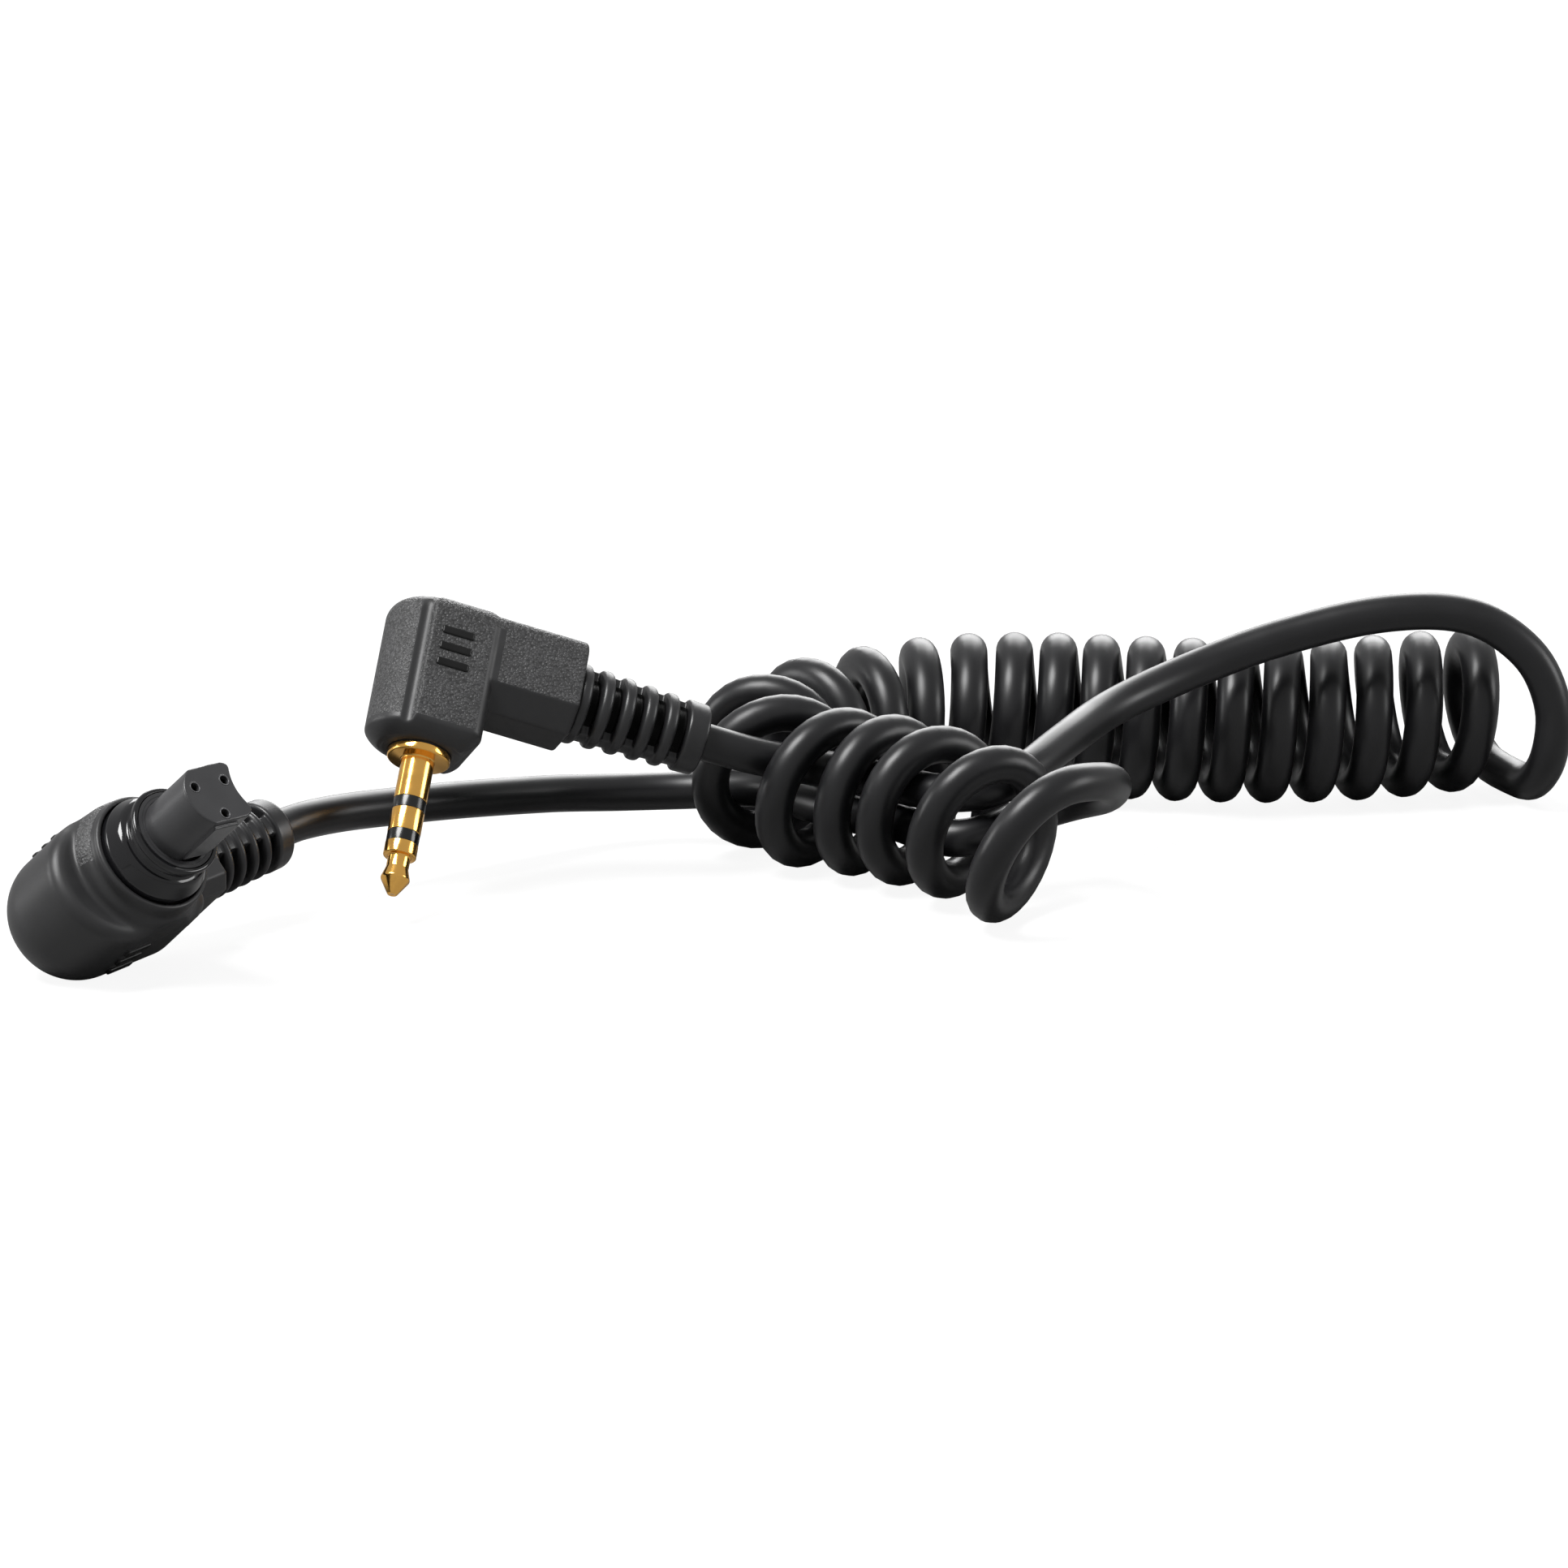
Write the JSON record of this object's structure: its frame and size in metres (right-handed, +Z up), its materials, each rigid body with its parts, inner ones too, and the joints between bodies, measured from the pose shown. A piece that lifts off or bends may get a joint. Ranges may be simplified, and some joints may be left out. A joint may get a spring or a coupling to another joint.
{
  "type": "cable shutter release",
  "caption": "Coiled black remote release cord between a right angle gold jack plug and a right angle three contact camera plug with a sprung locking sleeve.",
  "frame": {"origin": "on the table, under the middle of the box round the two plugs with their strain reliefs", "axes": "+X to the right of the coil lying on the table, +Y away from the front, +Z up from the table"},
  "size_m": [0.1167, 0.0708, 0.0224],
  "materials": {
    "housing": "fine leather grain, satin",
    "boot": "satin",
    "core": "matt",
    "gold": "polished gold plate",
    "black_plastic": "gloss",
    "brass": "satin",
    "wire": "gloss",
    "nose": "satin",
    "gloss_black": "gloss",
    "steel": "bright",
    "cord": "satin, moulded jacket"
  },
  "bodies": {
    "cord_set": {"jack_housing": "housing", "jack_boot": "boot", "jack_core": "core", "jack_sleeve_contact": "gold", "jack_rear_insulator": "black_plastic", "jack_ring_contact": "gold", "jack_front_insulator": "black_plastic", "jack_tip_contact": "gold", "jack_solder_tags": "brass", "jack_wires": "wire", "camera_housing": "housing", "camera_boot": "boot", "camera_core": "core", "camera_barrel": "nose", "camera_nose": "nose", "camera_contacts": "brass", "camera_lock_spring": "steel", "camera_stop_ring": "nose", "camera_wires": "wire", "cord_camera_lead": "cord", "cord_coil": "cord", "cord_jack_lead": "cord"},
    "lock_sleeve": {"camera_lock_sleeve": "gloss_black"}
  },
  "joints": [
    {"name": "lock_sleeve_pull", "type": "slide", "parent": "cord_set", "child": "lock_sleeve", "axis": [-0.5508, 0.5353, -0.6403], "range_m": [0, 0.0012], "stiffness_N_per_m": 400}
  ]
}
